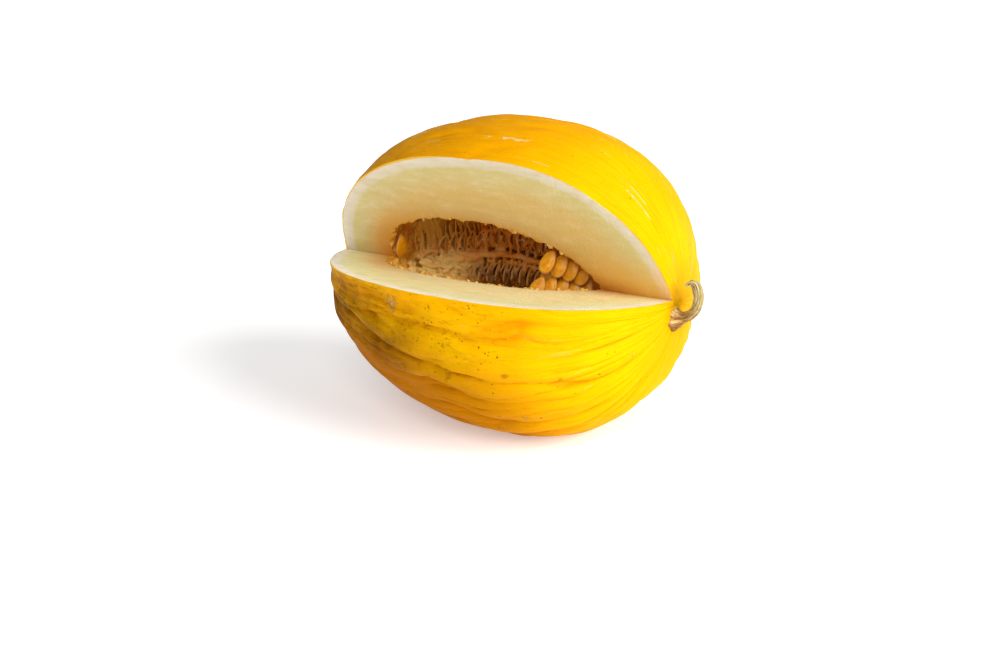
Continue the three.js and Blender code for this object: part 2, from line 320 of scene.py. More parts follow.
def marks(tree, place, ragged, places):
    """1 inside any of these ragged marks, fading to 0 round them."""
    total = 0.0
    for along, degrees, size, torn in places:
        away = add(tree, "VectorMath", {0: place, 1: on_skin(along, degrees)}, operation="DISTANCE").outputs["Value"]
        torn_away = add(tree, "Math", {0: ragged, 1: 5 * torn * MM, 2: away}, operation="MULTIPLY_ADD").outputs[0]
        one = range_of(tree, torn_away, (size + 2.5 * torn) * MM, (0.3 * size + 2.5 * torn) * MM)
        total = add(tree, "Math", {0: total, 1: one}, operation="MAXIMUM").outputs[0]
    return total


def waxy_rind():
    """Waxy yellow rind: a soft gloss, broken by creases, brown flecks and bruises, and pale corky scratches, with
    painted shade in its fold valleys, on its top, on its underside and on its blossom-end front.
    """
    made, tree, shader = new_material("waxy_rind")
    place = add(tree, "TexCoord").outputs["Object"]
    rolled = add(tree, "Attribute", attribute_name="rolled").outputs["Vector"]
    relief = add(tree, "Attribute", attribute_name="relief").outputs["Fac"]
    along = add(tree, "SeparateXYZ", {0: rolled}).outputs[0]

    cloud = grain(tree, place, 42, 3, 0.6)
    ripe = add(tree, "ValToRGB", {"Fac": cloud}, [(0.3, "#F8AE00"), (0.55, "#FAB800"), (0.75, "#FCC200")]).outputs[0]
    streak = grain(tree, rolled, (60, 2.6, 2.6), 4, 0.6)
    colour = mixed(tree, range_of(tree, streak, 0.5, 0.72, 0, 0.32), ripe, "#F09600")
    # Darker orange in the fold valleys: partly the rind's own tint there, partly painted shade.
    colour = mixed(tree, range_of(tree, relief, -1.5, -3.0, 0, 0.55), colour, "#D07600")

    # Duller, darker gold in blotches toward the blossom end: partly the rind's own dull patches, partly painted shade
    # on that side.
    toward_blossom = range_of(tree, along, -0.005, -0.095)
    blotch = grain(tree, place, 19, 5, 0.65)
    dull_and_painted_shade = product(tree, range_of(tree, blotch, 0.36, 0.62, 0.25, 1), toward_blossom)
    colour = mixed(tree, dull_and_painted_shade, colour, "#A46A00")
    height = add(tree, "SeparateXYZ", {0: rolled}).outputs[2]
    # Painted shadow: the lower front toward the blossom end turns dark brown in blotches.
    painted_low_shadow = product(tree, range_of(tree, height, 0.008, -0.03), range_of(tree, along, 0.035, -0.05))
    painted_low_shadow = product(tree, painted_low_shadow, range_of(tree, blotch, 0.3, 0.6, 0.6, 1))
    colour = mixed(tree, painted_low_shadow, colour, "#5E3200")
    # Painted shade: the top of the dome is turned darker orange.
    painted_top_shade = product(tree, range_of(tree, height, 0.035, 0.075, 0, 0.5), range_of(tree, along, 0.05, 0.0))
    colour = mixed(tree, painted_top_shade, colour, "#E08A00")
    # Painted shade: the underside is turned darker orange.
    painted_underside_shade = product(tree, range_of(tree, height, -0.02, -0.046, 0, 0.75), range_of(tree, along, 0.06, 0.01))
    colour = mixed(tree, painted_underside_shade, colour, "#BA7000")

    ragged = grain(tree, place, 3.4, 6, 0.7)
    colour = mixed(tree, product(tree, marks(tree, place, ragged, BRUISES), 0.55), colour, "#8A5A10")

    cells = add(tree, "TexVoronoi", {"Vector": place, "Scale": 1 / (2.0 * MM)}, feature="F1")
    torn_edge = add(tree, "Math", {0: ragged, 1: 1.5, 2: cells.outputs["Distance"]}, operation="MULTIPLY_ADD").outputs[0]
    dot = range_of(tree, torn_edge, 1.0, 0.76)
    chosen = add(tree, "SeparateXYZ", {0: cells.outputs["Color"]}).outputs[0]
    crowd = product(tree, range_of(tree, height, 0.02, 0.004), range_of(tree, height, -0.042, -0.012))
    crowd = product(tree, crowd, range_of(tree, along, 0.035, 0.005))
    crowd = product(tree, crowd, range_of(tree, blotch, 0.4, 0.62, 0.2, 1))
    rarer = add(tree, "Math", {0: crowd, 1: -0.8, 2: 0.975}, operation="MULTIPLY_ADD").outputs[0]
    picked = add(tree, "Math", {0: chosen, 1: rarer}, operation="GREATER_THAN").outputs[0]
    dot = product(tree, dot, product(tree, picked, range_of(tree, blotch, 0.3, 0.6, 0.5, 0.9)))
    smudge = product(tree, crowd, range_of(tree, grain(tree, rolled, (5, 2, 2), 5, 0.7), 0.55, 0.7, 0, 0.75))
    colour = mixed(tree, add(tree, "Math", {0: dot, 1: smudge}, operation="MAXIMUM").outputs[0], colour, "#74420A")

    thread = grain(tree, rolled, (110, 9, 9), 0, 0)
    beside = add(tree, "Math", {0: thread, 1: 0.5}, operation="SUBTRACT").outputs[0]
    beside = add(tree, "Math", {0: beside}, operation="ABSOLUTE").outputs[0]
    scratch = range_of(tree, beside, 0.02, 0.008)
    scratch = product(tree, scratch, range_of(tree, grain(tree, rolled, (6, 4, 4), 3), 0.52, 0.58))
    scratch = product(tree, scratch, range_of(tree, grain(tree, place, 34, 1), 0.48, 0.54, 0, 0.95))
    scratch = product(tree, scratch, range_of(tree, height, 0.0, 0.03, 0.1, 1))
    colour = mixed(tree, scratch, colour, "#E6CC84")
    cork = marks(tree, place, ragged, CORKY_MARKS)
    colour = mixed(tree, product(tree, cork, 0.9), colour, "#C8A26C")
    tree.links.new(colour, shader.inputs["Base Color"])

    pores = grain(tree, place, 1.1, 3)
    lift = product(tree, pores, 0.00022)
    for part, depth in ((grain(tree, rolled, (24, 1.9, 1.9), 3), 0.0009), (scratch, 0.0002), (cork, 0.0005), (dot, -0.0003)):
        lift = add(tree, "Math", {0: part, 1: depth, 2: lift}, operation="MULTIPLY_ADD").outputs[0]
    bump = add(tree, "Bump", {"Strength": 1, "Distance": 1, "Height": lift}).outputs[0]
    tree.links.new(bump, shader.inputs["Normal"])
    rough = mixed(tree, add(tree, "Math", {0: cork, 1: scratch}, operation="MAXIMUM").outputs[0], "#B4B4B4", "#F0F0F0")
    tree.links.new(rough, shader.inputs["Roughness"])
    shader.inputs["IOR"].default_value = 1.42
    shader.inputs["Specular IOR Level"].default_value = 0.02
    return made


def crisp_flesh():
    """Crisp wet flesh: light sinks in and comes out again, and the knife leaves a faint sheen on it. The cut face that
    looks down gets a darker copy of its colours as painted shade.
    """
    made, tree, shader = new_material("crisp_flesh")
    place = add(tree, "TexCoord").outputs["Object"]
    depth = add(tree, "Attribute", attribute_name="from_skin").outputs["Fac"]
    room = add(tree, "Attribute", attribute_name="from_room").outputs["Fac"]
    under = add(tree, "Attribute", attribute_name="under").outputs["Fac"]
    along = add(tree, "SeparateXYZ", {0: place}).outputs[0]

    cloud = grain(tree, place, 9, 4, 0.6)
    wavy = add(tree, "Math", {0: cloud, 1: 2.6, 2: depth}, operation="MULTIPLY_ADD").outputs[0]
    share = range_of(tree, wavy, 1.3, 24)
    # Painted shade: the cut face of the upper piece, which looks down, takes a darker khaki copy of the flesh colours.
    bright = [(0.1, "#F6F0DA"), (0.24, "#F4ECD2"), (0.32, "#ECE4AC"), (0.7, "#ECE0A2"), (1.0, "#F0DCA0")]
    painted_shade_stops = [(0.1, "#E0D6C2"), (0.26, "#DCD0B2"), (0.34, "#D4C586"), (0.7, "#D8C284"), (1.0, "#DCBC76")]
    top = add(tree, "ValToRGB", {"Fac": share}, bright).outputs[0]
    painted_shade = add(tree, "ValToRGB", {"Fac": share}, painted_shade_stops).outputs[0]
    colour = mixed(tree, under, top, painted_shade)
    streaky = grain(tree, place, (11, 5, 4), 6, 0.7)
    colour = mixed(tree, range_of(tree, streaky, 0.5, 0.3, 0, 0.4), colour, "#D0AC58")
    colour = mixed(tree, range_of(tree, streaky, 0.52, 0.7, 0, 0.22), colour, "#FAF2D0")
    fibre_place = add(tree, "CombineXYZ", {0: along, 1: product(tree, room, MM), 2: under}).outputs[0]
    fibre = grain(tree, fibre_place, (1.3, 9, 400), 4, 0.6)
    near = range_of(tree, room, 11, 0)
    colour = mixed(tree, product(tree, near, range_of(tree, fibre, 0.5, 0.68, 0, 0.6)), colour, "#E4DCC0")
    stained = range_of(tree, room, 1.6, 0)
    ripe_reach = add(tree, "Math", {0: under, 1: 9.0, 2: 1.2}, operation="MULTIPLY_ADD").outputs[0]
    ripe = add(tree, "Math", {0: room, 1: ripe_reach}, operation="DIVIDE").outputs[0]
    ripe = product(tree, range_of(tree, ripe, 1, 0), range_of(tree, fibre, 0.35, 0.65, 0.35, 1))
    colour = mixed(tree, product(tree, ripe, 0.8), colour, "#D0902C")
    from_hinge = add(tree, "Attribute", attribute_name="from_hinge").outputs["Fac"]
    wavy_hinge = add(tree, "Math", {0: streaky, 1: -9, 2: from_hinge}, operation="MULTIPLY_ADD").outputs[0]
    hinge = product(tree, range_of(tree, along, 0.012, 0.05), range_of(tree, wavy_hinge, 22, -3))
    hinge = product(tree, hinge, range_of(tree, under, 0, 1, 0.16, 0.7))
    colour = mixed(tree, hinge, colour, "#F2B43C")
    deep_hinge = product(tree, range_of(tree, wavy_hinge, 5, -4), range_of(tree, room, 26, 2))
    colour = mixed(tree, product(tree, deep_hinge, range_of(tree, along, 0.0, 0.03, 0.35, 0.85)), colour, "#C47810")
    blossom_side = product(tree, range_of(tree, along, -0.035, -0.07), range_of(tree, room, 15, 0))
    colour = mixed(tree, product(tree, blossom_side, 0.75), colour, "#E09A26")
    colour = mixed(tree, stained, colour, "#DC9C34")
    colour = mixed(tree, range_of(tree, depth, 1.3, 0.5), colour, "#E8B400")
    tree.links.new(colour, shader.inputs["Base Color"])

    cells = grain(tree, place, 1.2, 3)
    height = product(tree, cells, 0.0003)
    height = add(tree, "Math", {0: fibre, 1: 0.0003, 2: height}, operation="MULTIPLY_ADD").outputs[0]
    bump = add(tree, "Bump", {"Strength": 1, "Distance": 1, "Height": height}).outputs[0]
    tree.links.new(bump, shader.inputs["Normal"])
    tree.links.new(range_of(tree, cells, 0.35, 0.65, 0.34, 0.55), shader.inputs["Roughness"])
    shader.inputs["IOR"].default_value = 1.36
    shader.inputs["Subsurface Weight"].default_value = 0.3
    shader.inputs["Subsurface Radius"].default_value = (1, 0.8, 0.45)
    shader.inputs["Subsurface Scale"].default_value = 0.003
    return made


def moist_wall():
    """The wall of the hollow, where the seeds hang: soft, wet and fibrous, orange with ripeness."""
    made, tree, shader = new_material("moist_wall")
    place = add(tree, "TexCoord").outputs["Object"]
    fibres = grain(tree, place, (2.2, 6, 6), 5, 0.65)
    stops = [(0.3, "#E49C2A"), (0.52, "#FABE44"), (0.72, "#FFDA70")]
    colour = add(tree, "ValToRGB", {"Fac": fibres}, stops).outputs[0]
    tree.links.new(colour, shader.inputs["Base Color"])
    height = product(tree, fibres, 0.0016)
    bump = add(tree, "Bump", {"Strength": 1, "Distance": 1, "Height": height}).outputs[0]
    tree.links.new(bump, shader.inputs["Normal"])
    shader.inputs["Roughness"].default_value = 0.42
    shader.inputs["Specular IOR Level"].default_value = 0.25
    shader.inputs["Subsurface Weight"].default_value = 0.2
    shader.inputs["Subsurface Radius"].default_value = (1, 0.5, 0.2)
    shader.inputs["Subsurface Scale"].default_value = 0.003
    return made


skin.data.materials.clear()
for material in (waxy_rind(), crisp_flesh(), moist_wall()):
    skin.data.materials.append(material)

count = len(skin.data.polygons)
centres = np.empty(count * 3, np.float32)
normals = np.empty(count * 3, np.float32)
skin.data.polygons.foreach_get("center", centres)
skin.data.polygons.foreach_get("normal", normals)
centres, normals = centres.reshape(-1, 3).astype(float), normals.reshape(-1, 3).astype(float)
kind = np.zeros(count, np.int32)
kind[oval_share(centres - np.array([HOLLOW_X, 0, 0]), HOLLOW) < 1.15] = 2
for cut, facing in ((LOWER_CUT, 1), (UPPER_CUT, -1)):
    normal = np.array(cut_normal(cut))
    on_cut = (np.abs(centres @ normal - cut["offset"]) < 0.5) & (facing * (normals @ normal) > 0.75)
    kind[on_cut] = 1
skin.data.polygons.foreach_set("material_index", kind)

write_points(skin, read_points(skin) * MM + np.array(CENTRE))
alone(skin)
bpy.ops.object.shade_smooth_by_angle(angle=math.radians(40))
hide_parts("fruit")
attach(skin, "root")

# ------------------------------------------------------------------ the seeds
# Flat almond seeds in a slippery coat: two rows that still hang in the hollow,
# and a loose cluster that the knife pushed against the stem end. Each has a
# swollen golden middle, a raised tan border and one pointed end.

SEED_LENGTH, SEED_WIDTH, SEED_THICKNESS = 13.0, 7.6, 2.6


def slippery_seed():
    """A seed's hull in its wet coat: golden in the middle, tan at the border, with sharp small highlights."""
    made, tree, shader = new_material("slippery_seed")
    place = add(tree, "TexCoord").outputs["Object"]
    border = add(tree, "Attribute", attribute_name="border").outputs["Fac"]
    tone = add(tree, "Attribute", attribute_name="tone").outputs["Fac"]
    mottle = grain(tree, place, 2.6, 3, 0.6)
    hull = add(tree, "ValToRGB", {"Fac": mottle}, [(0.35, "#DC8A00"), (0.55, "#F0A400"), (0.7, "#FABC0C")]).outputs[0]
    old_hull = add(tree, "ValToRGB", {"Fac": mottle}, [(0.35, "#CC8818"), (0.6, "#ECAC38")]).outputs[0]
    colour = mixed(tree, tone, hull, old_hull)
    wavy_border = add(tree, "Math", {0: mottle, 1: 0.35, 2: border}, operation="MULTIPLY_ADD").outputs[0]
    colour = mixed(tree, range_of(tree, wavy_border, 0.82, 1.08, 0, 0.85), colour, "#D2A45C")
    tree.links.new(colour, shader.inputs["Base Color"])
    fine = grain(tree, place, 0.7, 2)
    bump = add(tree, "Bump", {"Strength": 0.5, "Distance": 0.0002, "Height": fine}).outputs[0]
    tree.links.new(bump, shader.inputs["Normal"])
    shader.inputs["Roughness"].default_value = 0.42
    shader.inputs["Specular IOR Level"].default_value = 0.3
    shader.inputs["Coat Weight"].default_value = 0.1
    shader.inputs["Coat Roughness"].default_value = 0.14
    shader.inputs["Subsurface Weight"].default_value = 0.15
    shader.inputs["Subsurface Radius"].default_value = (1, 0.6, 0.1)
    shader.inputs["Subsurface Scale"].default_value = 0.0015
    return made


def almond(unit):
    """A unit ball with poles on Z, flattened to a seed whose pointed end is toward +X."""
    out = np.hypot(unit[:, 0], unit[:, 1])
    ahead = unit[:, 0] / np.maximum(out, 1e-9)
    beside = unit[:, 1] / np.maximum(out, 1e-9)
    narrow = (1 - 0.24 * ahead) * (1 - 0.16 * np.maximum(ahead, 0) ** 5)
    swell = np.maximum(1 - (out / 0.9) ** 2.2, 0) ** 0.6
    lip = 0.34 * np.exp(-(((out - 0.9) / 0.07) ** 2)) + 0.2 * np.sqrt(np.maximum(1 - out**2, 0))
    thick = np.sign(unit[:, 2]) * SEED_THICKNESS / 2 * np.minimum(0.86 * swell + lip, 1)
    return np.stack([SEED_LENGTH / 2 * out * ahead, SEED_WIDTH / 2 * out * beside * narrow, thick], 1)


def lie_of(node):
    """The middle of a packed seed and its long, wide and thin directions, pointed end first."""
    vertices = np.array([v.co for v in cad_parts[node].data.vertices], float)
    middle = (vertices.min(0) + vertices.max(0)) / 2
    for _ in range(2):
        spread = vertices - middle
        axes = np.linalg.eigh(spread.T @ spread)[1][:, ::-1].T
        reach = spread @ axes.T
        middle = middle + (reach.min(0) + reach.max(0)) / 2 @ axes
    reach = (vertices - middle) @ axes.T
    half = SEED_LENGTH / 2 * MM
    front = np.abs(reach[reach[:, 0] > 0.4 * half][:, 1]).max()
    rear = np.abs(reach[reach[:, 0] < -0.4 * half][:, 1]).max()
    if front > rear:
        axes[0] = -axes[0]
    axes[2] = np.cross(axes[0], axes[1])
    return middle, axes


seed_finish = slippery_seed()
seed_nodes = sorted(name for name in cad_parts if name.startswith("seed_"))
for number, node in enumerate(seed_nodes):
    chance = random.Random(number + 11)
    piece = ball(node.replace("seed", "melon_seed"), 40, 28)
    unit = read_points(piece)
    out = np.hypot(unit[:, 0], unit[:, 1])
    shape = almond(unit)
    shape[:, 2] += 0.012 * (shape[:, 0] ** 2 - 14) * chance.uniform(-1, 1)
    shape += 0.16 * noise_at(shape + number * 20, (3.2, 3.2, 2.4))[:, None] * np.array([0.5, 0.7, 1])
    shape *= np.array([chance.uniform(0.95, 1), chance.uniform(0.94, 1.02), chance.uniform(0.9, 1.05)])
    middle, axes = lie_of(node)
    write_points(piece, shape * MM @ axes + middle)
    hanging = "upper" in node or "lower" in node
    store(piece, "border", out**3)
    store(piece, "tone", np.full(len(out), chance.uniform(0.6, 1) if hanging else chance.uniform(0, 0.3)))
    piece.data.materials.append(seed_finish)
    alone(piece)
    bpy.ops.object.shade_smooth()
    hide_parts(node)
    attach(piece, "root")

# -------------------------------------------------------------- the placenta
# The soft stringy tissue that feeds the seeds. A thick ridge runs along the
# wall of the hollow; walls and loops of it hold each hanging seed, thinner
# strings lace them together, and at the blossom end it is torn to a lump.

ROWS_X, ROW_PITCH = -36, 4.6
UPPER_COUNT, LOWER_COUNT = 14, 12
RIDGE_INSET = 4.6
string_chance = random.Random(5)


def hollow_radius(along):
    along = along - HOLLOW_X
    far = HOLLOW["to_blossom"] if along < 0 else HOLLOW["to_stem"]
    blunt = HOLLOW["blunt_blossom"] if along < 0 else HOLLOW["blunt_stem"]
    return HOLLOW["radius"] * max(1 - abs(along / far) ** blunt, 0.001) ** (1 / blunt)


def from_wall(along, degrees, inset):
    """A point of the hollow this many mm in from its wall."""
    out = hollow_radius(along) - inset
    angle = math.radians(degrees)
    return (along, out * math.cos(angle), out * math.sin(angle))


def ridge_angle(along):
    return -4 - 20 * ((along + 28) / 40) ** 2


def arc(along, length):
    """Degrees round the wall of the hollow that span this many mm."""
    return math.degrees(length / (hollow_radius(along) - RIDGE_INSET))


def row_x(index, count):
    return ROWS_X + (index - (count - 1) / 2) * ROW_PITCH


strings = bpy.data.curves.new("placenta_strings", "CURVE")
strings.dimensions = "3D"
strings.bevel_depth = 1
strings.bevel_resolution = 2
strings.use_fill_caps = True


def string(path, thickness, waver=0.35, steps=5):
    """A strand along a path of points in mm, with a radius that varies along it."""
    dense = []
    for i in range(len(path) - 1):
        before, start, end, after = (Vector(path[min(max(i + k, 0), len(path) - 1)]) for k in (-1, 0, 1, 2))
        for k in range(steps):
            t = k / steps
            dense.append(0.5 * (2 * start + (end - before) * t + (2 * before - 5 * start + 4 * end - after) * t**2
                                + (3 * start - before - 3 * end + after) * t**3))
    dense.append(Vector(path[-1]))
    spline = strings.splines.new("POLY")
    spline.points.add(len(dense) - 1)
    start_at = string_chance.uniform(0, 100)
    for i, (point, place) in enumerate(zip(spline.points, dense)):
        share = i / (len(dense) - 1)
        lump = noise.noise(place / 3 + Vector((start_at, 0, 0)))
        place = place + waver * noise.noise_vector(place / 4 + Vector((0, start_at, 0)))
        size = thickness(share) if callable(thickness) else thickness
        point.co = (*place, 1)
        point.radius = size * (1 + 0.45 * lump)


def loop_round_seed(along, middle, half_arc, side):
    """The eye-shaped pocket mouth in front of one hanging seed; gives back the angle at which the strand that it hangs
    by starts.
    """
    chance = string_chance
    bow = chance.uniform(1.5, 2.0)
    high = half_arc * chance.uniform(0.85, 1.05)
    for hand in (-1, 1):
        path = []
        for k in range(9):
            t = k / 8
            lean = math.sin(math.pi * t)
            at = along + hand * bow * lean**0.8 + chance.uniform(-0.15, 0.15)
            path.append(from_wall(at, middle + high * (1 - 2 * t), 5.6 + 3.4 * lean + chance.uniform(-0.3, 0.3)))
        string(path, chance.uniform(0.42, 0.72))
    return middle + side * high


def pocket_wall(along, low, high, deep):
    """The thin wall between two seeds, from the wall of the hollow inward."""
    columns, rows = 5, 9
    bpy.ops.mesh.primitive_grid_add(x_subdivisions=columns, y_subdivisions=rows, size=1)
    made = bpy.context.object
    grid = read_points(made) + np.array([0.5, 0.5, 0])
    lean = string_chance.uniform(-0.5, 0.5)
    places = []
    for u, v, _ in grid:
        ragged = 1 + 0.25 * noise.noise(Vector((along, v * 4, 3.3)))
        inset = -0.6 + (deep * ragged + 0.6) * u
        at = along + lean * math.sin(3 * v + 2 * u) + 0.5 * noise.noise(Vector((along * 3, v * 3, u * 2)))
        places.append(from_wall(at, low + (high - low) * v, inset))
    write_points(made, np.array(places))
    apply_modifier(made, "SOLIDIFY", thickness=string_chance.uniform(0.7, 1.0), offset=0)
    return made


parts = []
bpy.ops.object.select_all(action="DESELECT")
for count, side in ((UPPER_COUNT, 1), (LOWER_COUNT, -1)):
    for i in range(count + 1):
        along = row_x(i - 0.5, count)
        start = ridge_angle(along)
        rise = start + side * arc(along, 17 + string_chance.uniform(-2, 2) + (6 if side > 0 else 0))
        deep = string_chance.uniform(6.2, 8.2)
        parts.append(pocket_wall(along, min(start, rise), max(start, rise), deep))
        edge = [from_wall(along + string_chance.uniform(-0.5, 0.5), start + (rise - start) * t, deep - 0.4 - 1.5 * t)
                for t in (0, 0.2, 0.4, 0.6, 0.8, 1)]
        string(edge, lambda share: 0.85 - 0.35 * share)
    for i in range(count):
        along = row_x(i, count)
        half_arc = arc(along, SEED_LENGTH / 2)
        middle = ridge_angle(along) + side * arc(along, SEED_LENGTH / 2 + 3)
        end = loop_round_seed(along, middle, half_arc, side)
        reach = arc(along, string_chance.uniform(3, 9) if side < 0 else 14)
        tail = [from_wall(along + string_chance.uniform(-0.8, 0.8), end + side * reach * t, 5.5 - 4.5 * t)
                for t in (0, 0.35, 0.7, 1)]
        string(tail, lambda share: 0.6 - 0.25 * share)

for along, length in ((-70.6, 27), (-72.8, 26), (-74.9, 21), (-76.9, 15)):
    start = ridge_angle(along) + arc(along, 3)
    parts.append(pocket_wall(along, start, start + arc(along, length), string_chance.uniform(3, 4.5)))
    for hand in (-1, 1):
        line = [from_wall(along + hand * 1.1 * math.sin(3 * t), start + arc(along, length) * t, 4.6 - 2 * t)
                for t in (0, 0.25, 0.5, 0.75, 1)]
        string(line, string_chance.uniform(0.5, 0.8))

ridge_line = [from_wall(x, ridge_angle(x) + string_chance.uniform(-1.2, 1.2), RIDGE_INSET + 3.6 + string_chance.uniform(-0.4, 0.6))
              for x in range(-66, -1, 5)]
string(ridge_line, lambda share: 1.3 + 1.0 * (1 - share) ** 2, 0.6)
for _ in range(7):
    offset, lift = string_chance.uniform(-3, 3), string_chance.uniform(0, 2.5)
    first = string_chance.uniform(-72, -40)
    line = [from_wall(x, ridge_angle(x) + arc(x, offset * math.sin(x / 7 + offset)), RIDGE_INSET + lift)
            for x in np.linspace(first, first + string_chance.uniform(18, 38), 8)]
    string(line, string_chance.uniform(0.5, 0.9), 0.9)

for _ in range(34):
    start_x = string_chance.uniform(-68, -8)
    side = string_chance.choice((1, 1, -1))
    start = ridge_angle(start_x) + side * arc(start_x, string_chance.uniform(0, 13))
    end_x = start_x + string_chance.uniform(-5, 5)
    end = start + side * arc(start_x, string_chance.uniform(1, 7))
    deep = string_chance.uniform(6.5, 8.8)
    middle = from_wall((start_x + end_x) / 2, (start + end) / 2, deep + string_chance.uniform(-0.3, 0.8))
    string([from_wall(start_x, start, deep), middle, from_wall(end_x, end, deep)], string_chance.uniform(0.28, 0.5), 0.7)

for _ in range(80):
    start_x = string_chance.uniform(-78, -54)
    spread = arc(start_x, 8)
    path = []
    at, degrees = start_x, ridge_angle(start_x) + string_chance.uniform(-1.9, 0.5) * spread
    inset = string_chance.uniform(1, 9)
    for _ in range(5):
        path.append(from_wall(at, degrees, inset))
        at = min(max(at + string_chance.uniform(-3, 5), -77), -48)
        degrees += string_chance.uniform(-0.35, 0.35) * spread
        inset = min(max(inset + string_chance.uniform(-2, 2.4), 0.5), 11)
    string(path, string_chance.uniform(0.7, 1.5), 0.8)

for _ in range(7):
    at, degrees = string_chance.uniform(2, 26), string_chance.uniform(-150, -60)
    path = []
    for _ in range(4):
        path.append(from_wall(at, degrees, string_chance.uniform(0.2, 1.2)))
        at += string_chance.uniform(-1, 3)
        degrees += string_chance.uniform(-9, 9)
    string(path, string_chance.uniform(0.35, 0.6), 0.5)

web = bpy.data.objects.new("placenta_strings", strings)
bpy.context.scene.collection.objects.link(web)
alone(web)
bpy.ops.object.convert(target="MESH")
web = bpy.context.object
for part in parts:
    part.select_set(True)
bpy.ops.object.join()
web.name = web.data.name = "melon_placenta"
apply_modifier(web, "REMESH", mode="VOXEL", voxel_size=0.42, use_smooth_shade=True)
apply_modifier(web, "SMOOTH", factor=0.5, iterations=2)


def stringy_pulp():
    """Wet, half see-through stringy pulp: cream and orange in blotches, paler cream at the blossom end and in the
    upper curtain, and painted shade in dark brown low in the hollow.
    """
    made, tree, shader = new_material("stringy_pulp")
    place = add(tree, "TexCoord").outputs["Object"]
    cloud = grain(tree, place, 7, 4, 0.6)
    colour = add(tree, "ValToRGB", {"Fac": cloud}, [(0.32, "#E08C24"), (0.5, "#F2AE48"), (0.68, "#FFD28A")]).outputs[0]
    left = add(tree, "SeparateXYZ", {0: place}).outputs[0]
    up = add(tree, "SeparateXYZ", {0: place}).outputs[2]
    pulp = product(tree, range_of(tree, left, -0.03, -0.052), range_of(tree, up, 0.078, 0.07))
    colour = mixed(tree, pulp, colour, "#FFDA84")
    curtain = product(tree, range_of(tree, left, -0.04, -0.06), range_of(tree, up, 0.074, 0.082))
    colour = mixed(tree, curtain, colour, "#FFD468")
    # Painted shade: the strands low in the hollow turn dark brown.
    painted_shade = product(tree, range_of(tree, up, 0.071, 0.066), range_of(tree, left, -0.05, -0.036))
    colour = mixed(tree, product(tree, painted_shade, 0.85), colour, "#5C3208")
    tree.links.new(colour, shader.inputs["Base Color"])
    height = product(tree, grain(tree, place, 0.9, 3), 0.0003)
    bump = add(tree, "Bump", {"Strength": 1, "Distance": 1, "Height": height}).outputs[0]
    tree.links.new(bump, shader.inputs["Normal"])
    shader.inputs["Roughness"].default_value = 0.4
    shader.inputs["Specular IOR Level"].default_value = 0.25
    shader.inputs["Subsurface Weight"].default_value = 0.4
    shader.inputs["Subsurface Radius"].default_value = (1, 0.5, 0.15)
    shader.inputs["Subsurface Scale"].default_value = 0.002
    return made


web.data.materials.clear()
web.data.materials.append(stringy_pulp())
write_points(web, read_points(web) * MM + np.array(CENTRE))
alone(web)
bpy.ops.object.shade_smooth()
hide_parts("placenta")
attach(web, "root")

# -------------------------------------------------------------- the torn rim
# Where the knife ran out into the hollow it tore the ripest flesh, and left
# small wet crumbs of it all round both edges.


def edge_angle(along, cut, hand, inset):
    """The angle round the hollow at which its wall meets a knife's stroke."""
    normal = cut_normal(cut)
    out = hollow_radius(along) - inset
    level = (cut["offset"] - normal.x * along) / (out * math.hypot(normal.y, normal.z))
    if abs(level) >= 1:
        return None
    return math.degrees(math.atan2(normal.z, normal.y) + hand * math.acos(level))


crumb_chance = random.Random(21)
crumbs = []
for cut, hand, count in ((LOWER_CUT, 1, 190), (UPPER_CUT, 1, 40)):
    for _ in range(count):
        along = crumb_chance.uniform(-77, 40)
        inset = crumb_chance.uniform(-0.5, 0.7)
        angle = edge_angle(along, cut, hand, inset)
        if angle is None:
            continue
        size = 0.3 + 0.9 * crumb_chance.random() ** 3
        if cut is UPPER_CUT and along < -58:
            continue
        if noise.noise(Vector((along / 6, count, 0))) < -0.1:
            continue
        bpy.ops.mesh.primitive_ico_sphere_add(subdivisions=2, radius=size, location=from_wall(along, angle, inset))
        crumb = bpy.context.object
        crumb.scale = [crumb_chance.uniform(0.6, 1.3) for _ in range(3)]
        crumbs.append(crumb)
bpy.ops.object.select_all(action="DESELECT")
for crumb in crumbs:
    crumb.select_set(True)
bpy.ops.object.join()
rim = bpy.context.object
bpy.ops.object.transform_apply(location=True, rotation=True, scale=True)
rim.name = rim.data.name = "torn_rim"
points = read_points(rim)
points += np.array([noise.noise_vector(Vector(p) / 0.9) for p in points]) * 0.35
write_points(rim, points)
apply_modifier(rim, "REMESH", mode="VOXEL", voxel_size=0.3, use_smooth_shade=True)


def torn_flesh():
    """Crumbs of the ripest flesh: yellow, wet and half see-through."""
    made, tree, shader = new_material("torn_flesh")
    place = add(tree, "TexCoord").outputs["Object"]
    cloud = grain(tree, place, 3, 3, 0.6)
    stops = [(0.35, "#C08018"), (0.52, "#D8A23C"), (0.68, "#E2C274")]
    colour = add(tree, "ValToRGB", {"Fac": cloud}, stops).outputs[0]
    tree.links.new(colour, shader.inputs["Base Color"])
    shader.inputs["Roughness"].default_value = 0.3
    shader.inputs["Subsurface Weight"].default_value = 0.4
    shader.inputs["Subsurface Radius"].default_value = (1, 0.7, 0.2)
    shader.inputs["Subsurface Scale"].default_value = 0.0015
    return made


rim.data.materials.clear()
rim.data.materials.append(torn_flesh())
write_points(rim, read_points(rim) * MM + np.array(CENTRE))
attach(rim, "root")

# ------------------------------------------------------------------- the stem
# The dried stalk that the melon hung by: a ribbed, twisted hook that flares
# into a puckered corky collar on the fruit and ends in a hollow cut.

